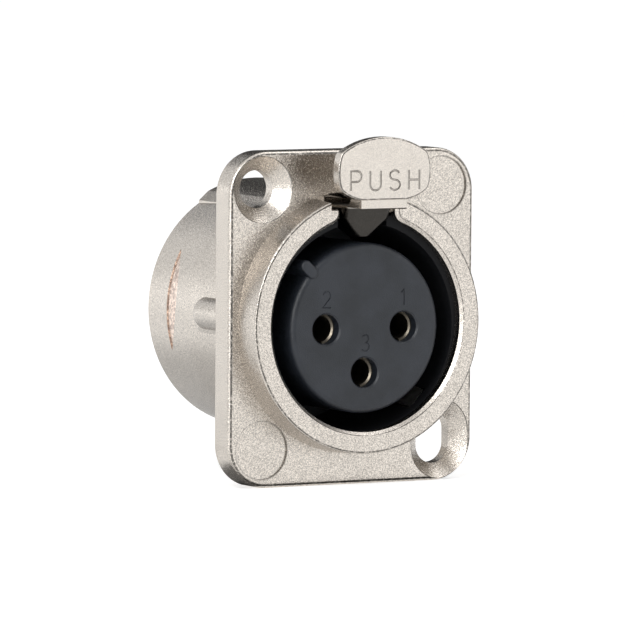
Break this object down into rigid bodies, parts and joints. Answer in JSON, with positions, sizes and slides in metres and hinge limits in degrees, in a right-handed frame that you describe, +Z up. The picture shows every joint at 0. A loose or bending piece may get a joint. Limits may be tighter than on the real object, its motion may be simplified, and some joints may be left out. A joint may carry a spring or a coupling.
{
  "type": "xlr panel socket",
  "caption": "Panel-mounted audio connector socket: countersunk metal flange, raised ring round the mouth, dark core with contact holes, and a rocking push lever that locks the plug.",
  "frame": {"origin": "centre of the round panel cut-out on the back face of the flange", "axes": "+Z up towards the push lever, -Y out of the mouth to the front, +Y along the barrel behind the panel, +X right seen from the front"},
  "size_m": [0.026, 0.0314, 0.0325],
  "materials": {
    "housing_metal": "satin nickel on die-cast metal",
    "lever_metal": "smooth satin nickel",
    "pin_steel": "ground",
    "spring_steel": "rolled strip",
    "sleeve_plastic": "moulded, dull",
    "insulator_plastic": "moulded, slightly rough",
    "rear_plastic": "moulded",
    "ground_metal": "tinned",
    "contact_metal": "thin gold plating"
  },
  "bodies": {
    "socket": {"housing": "housing_metal", "lever_pin": "pin_steel", "lever_spring": "spring_steel", "sleeve": "sleeve_plastic", "core_top": "insulator_plastic", "core_left": "insulator_plastic", "core_right": "insulator_plastic", "insulator": "insulator_plastic", "rear_insulator": "rear_plastic", "ground_contact": "ground_metal", "contact_1": "contact_metal", "contact_2": "contact_metal", "contact_3": "contact_metal"},
    "lever": {"push_lever": "lever_metal"}
  },
  "joints": [
    {"name": "push_lever_tilt", "type": "hinge", "parent": "socket", "child": "lever", "pos_m": [0, 0.00145, 0.01], "axis": [-1, 0, 0], "range_deg": [0, 12.5], "stiffness_Nm_per_rad": 0.04, "springref_deg": -8.59, "deforming": ["lever_spring"]}
  ]
}
